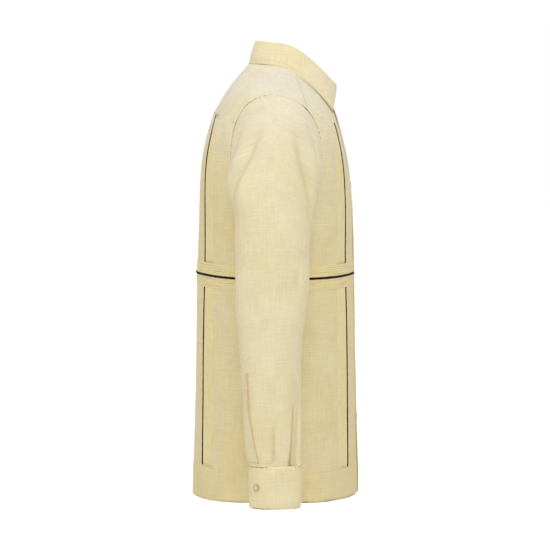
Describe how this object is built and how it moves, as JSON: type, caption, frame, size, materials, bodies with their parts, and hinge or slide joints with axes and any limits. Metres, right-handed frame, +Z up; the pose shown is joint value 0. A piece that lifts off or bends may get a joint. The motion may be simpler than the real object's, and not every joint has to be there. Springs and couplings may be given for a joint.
{
  "type": "long-sleeve shirt",
  "caption": "Loose long-sleeve linen button shirt with a turned-down collar, pin-tuck strips, piping and a tucked waist band.",
  "frame": {"origin": "middle of the neck at the height where the wearer's shoulders carry the shirt", "axes": "+Z up, the front faces -Y, the wearer's left is +X"},
  "size_m": [0.6286, 0.2861, 0.7713],
  "materials": {
    "linen": "matt woven linen",
    "piping_navy": "matt cotton cord",
    "button_linen": "satin"
  },
  "bodies": {
    "root": {"back": "linen", "front_left": "linen", "front_right": "linen", "front_placket": "linen", "yoke": "linen", "collar_stand": "linen", "collar_leaf": "linen", "sleeve_left": "linen", "sleeve_right": "linen", "cuff_left": "linen", "cuff_right": "linen", "sleeve_placket_left": "linen", "sleeve_placket_right": "linen", "tucks_back_left_lower": "linen", "tucks_back_left_upper": "linen", "tucks_back_right_lower": "linen", "tucks_back_right_upper": "linen", "tucks_front_left_lower": "linen", "tucks_front_left_upper": "linen", "tucks_front_right_lower": "linen", "tucks_front_right_upper": "linen", "piping_back_left_lower": "piping_navy", "piping_back_left_upper": "piping_navy", "piping_back_right_lower": "piping_navy", "piping_back_right_upper": "piping_navy", "piping_front_left_lower": "piping_navy", "piping_front_left_upper": "piping_navy", "piping_front_right_lower": "piping_navy", "piping_front_right_upper": "piping_navy", "waist_tucks_back": "linen", "waist_tucks_front_left": "linen", "waist_tucks_front_right": "linen", "waist_piping_back": "piping_navy", "waist_piping_front_left": "piping_navy", "waist_piping_front_right": "piping_navy", "button_1": "button_linen", "button_2": "button_linen", "button_3": "button_linen", "button_4": "button_linen", "button_5": "button_linen", "button_6": "button_linen", "button_collar": "button_linen", "button_cuff_left": "button_linen", "button_cuff_right": "button_linen"}
  },
  "joints": []
}
